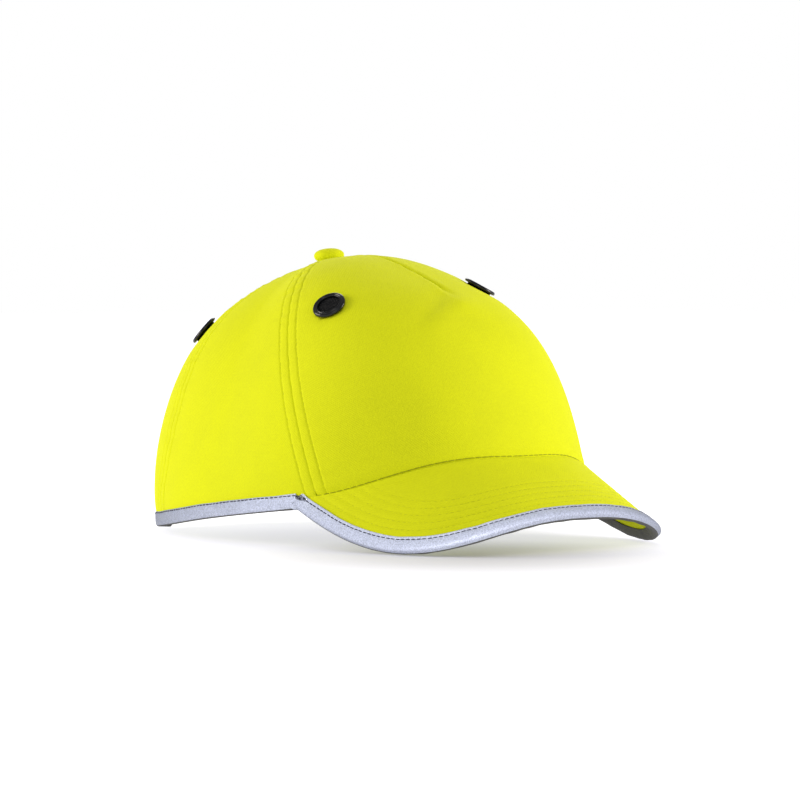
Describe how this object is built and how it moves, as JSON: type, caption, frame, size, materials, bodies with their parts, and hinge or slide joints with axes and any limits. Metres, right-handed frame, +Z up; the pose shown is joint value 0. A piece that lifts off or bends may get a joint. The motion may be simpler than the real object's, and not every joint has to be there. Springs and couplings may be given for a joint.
{
  "type": "bump cap",
  "caption": "Baseball-style safety bump cap with curved peak, reflective edge binding, mesh eyelets, lift-out impact shell and adjustable rear strap.",
  "frame": {"origin": "on the ground plane under the middle of the cap's bounding box, the cap standing on its rear edge and the two low sides of its peak", "axes": "+Z up; -Y forward, the way the peak points; -X the wearer's right"},
  "size_m": [0.1792, 0.2516, 0.132],
  "materials": {
    "fabric": "matte woven polyester",
    "lining": "matte",
    "tape": "matte",
    "reflective": "fine glass-bead sheen",
    "eyelet": "gloss",
    "board": "matte",
    "shell": "satin",
    "foam": "matte foam",
    "strap": "matte"
  },
  "bodies": {
    "cap": {"front_panel": "fabric", "side_panel_right": "fabric", "side_panel_left": "fabric", "rear_panel_right": "fabric", "rear_panel_left": "fabric", "peak_cover_top": "fabric", "peak_cover_bottom": "fabric", "top_button": "fabric", "seam_tape_front_right": "tape", "seam_tape_front_left": "tape", "seam_tape_rear_right": "tape", "seam_tape_rear_left": "tape", "seam_tape_centre": "tape", "strap_loop_pad": "tape", "binding_crown_right": "reflective", "binding_crown_left": "reflective", "binding_rear_opening": "reflective", "binding_peak": "reflective", "eyelet_ring_front_right": "eyelet", "eyelet_mesh_front_right": "eyelet", "eyelet_washer_front_right": "eyelet", "eyelet_ring_front_left": "eyelet", "eyelet_mesh_front_left": "eyelet", "eyelet_washer_front_left": "eyelet", "eyelet_ring_rear_right": "eyelet", "eyelet_mesh_rear_right": "eyelet", "eyelet_washer_rear_right": "eyelet", "eyelet_ring_rear_left": "eyelet", "eyelet_mesh_rear_left": "eyelet", "eyelet_washer_rear_left": "eyelet", "button_tack": "eyelet", "peak_board": "board", "sweatband": "lining", "strap_loop": "strap"},
    "liner": {"bump_shell": "shell", "pad_front": "foam", "pad_rear": "foam", "pad_right": "foam", "pad_left": "foam", "pad_crown": "foam"},
    "hook_root": {"strap_hook_root": "strap"},
    "hook_flap": {"strap_hook_flap": "strap", "strap_hook_pad": "tape"}
  },
  "joints": [
    {"name": "liner_lift_out", "type": "slide", "parent": "cap", "child": "liner", "axis": [0, 0, -1], "range_m": [0, 0.13]},
    {"name": "size_adjust", "type": "hinge", "parent": "cap", "child": "hook_root", "pos_m": [0, 0.0419, 0.016], "axis": [0, 0, 1], "range_deg": [-5, 2]},
    {"name": "strap_peel", "type": "hinge", "parent": "hook_root", "child": "hook_flap", "pos_m": [-0.03303, 0.11608, 0.016], "axis": [0, 0, 1], "range_deg": [0, 100]}
  ]
}
